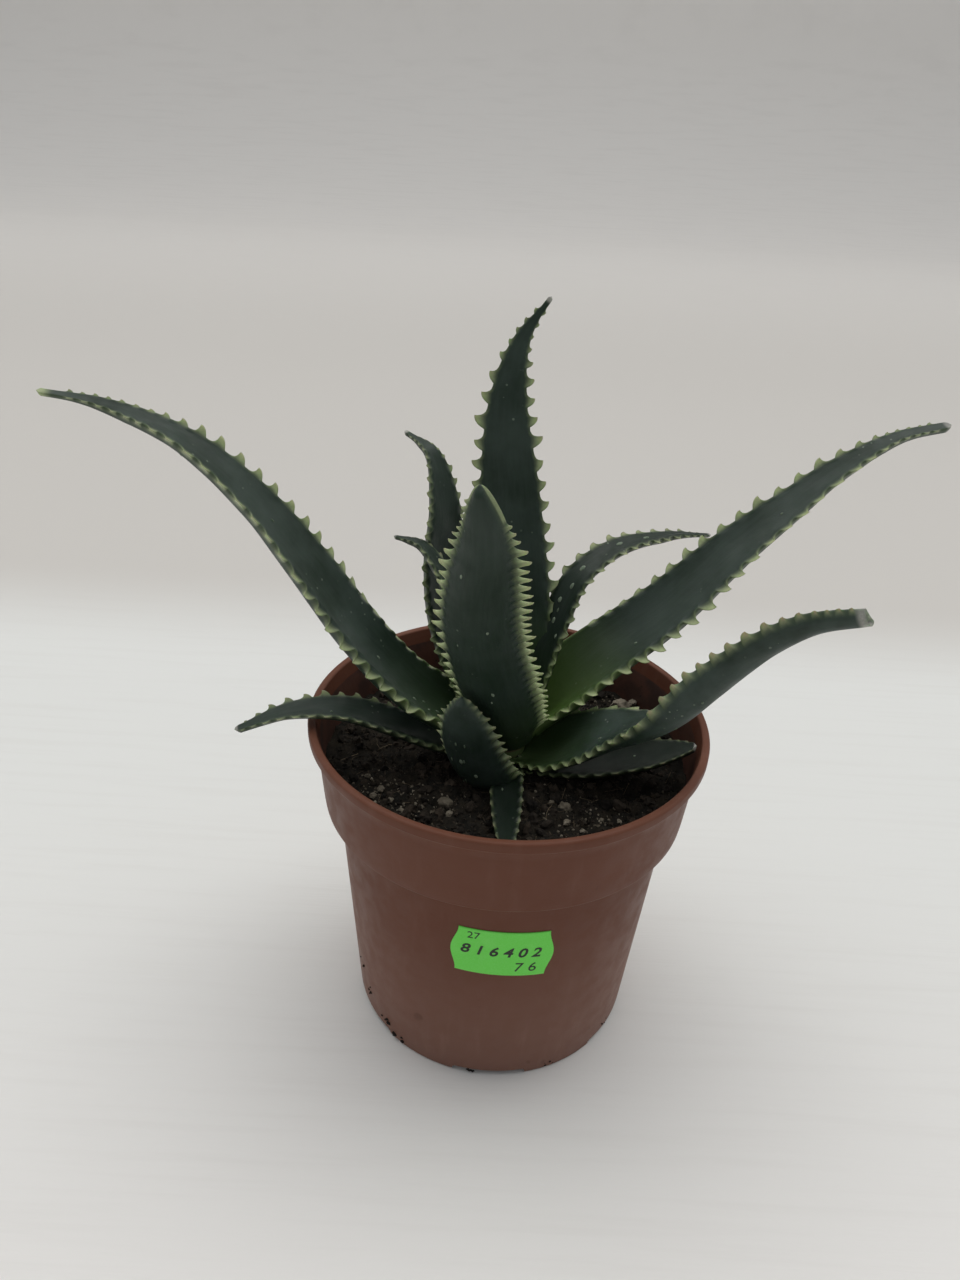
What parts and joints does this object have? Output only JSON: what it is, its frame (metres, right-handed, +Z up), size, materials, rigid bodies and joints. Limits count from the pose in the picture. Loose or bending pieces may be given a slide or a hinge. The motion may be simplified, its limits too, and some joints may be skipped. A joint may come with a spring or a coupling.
{
  "type": "potted aloe aculeata",
  "caption": "Young aloe rosette with long, toothed, arching leaves, standing in soil in a round tapered plastic nursery pot with a collar and a small price label.",
  "frame": {"origin": "middle of the pot's standing face, under the middle of the whole plant's reach", "axes": "+Z up along the pot's axis, -Y towards the front with the label, the two long leaves reach out along -X and +X"},
  "size_m": [0.2195, 0.105, 0.1939],
  "materials": {
    "pot_plastic": "satin red-brown moulded polypropylene",
    "soil_mix": "dry dark peat with pale mineral grains",
    "leaf_flesh": "dull grey-green succulent skin with pale yellow-green teeth",
    "stem_bark": "pale green to brown stem",
    "label_paper": "coated green paper"
  },
  "bodies": {
    "root": {"pot": "pot_plastic", "soil": "soil_mix", "stem": "stem_bark", "leaf_b_tall_back": "leaf_flesh", "leaf_c_tall_front": "leaf_flesh", "leaf_e_small_left": "leaf_flesh", "leaf_d_back_left": "leaf_flesh", "leaf_f_arched_right": "leaf_flesh", "leaf_g_long_right": "leaf_flesh", "leaf_a_long_left": "leaf_flesh", "leaf_j_short_front": "leaf_flesh", "leaf_h_cut_right": "leaf_flesh", "leaf_m_low_back": "leaf_flesh", "leaf_i_low_left": "leaf_flesh", "leaf_k_low_right": "leaf_flesh", "leaf_l_low_front": "leaf_flesh", "price_label": "label_paper"}
  },
  "joints": []
}
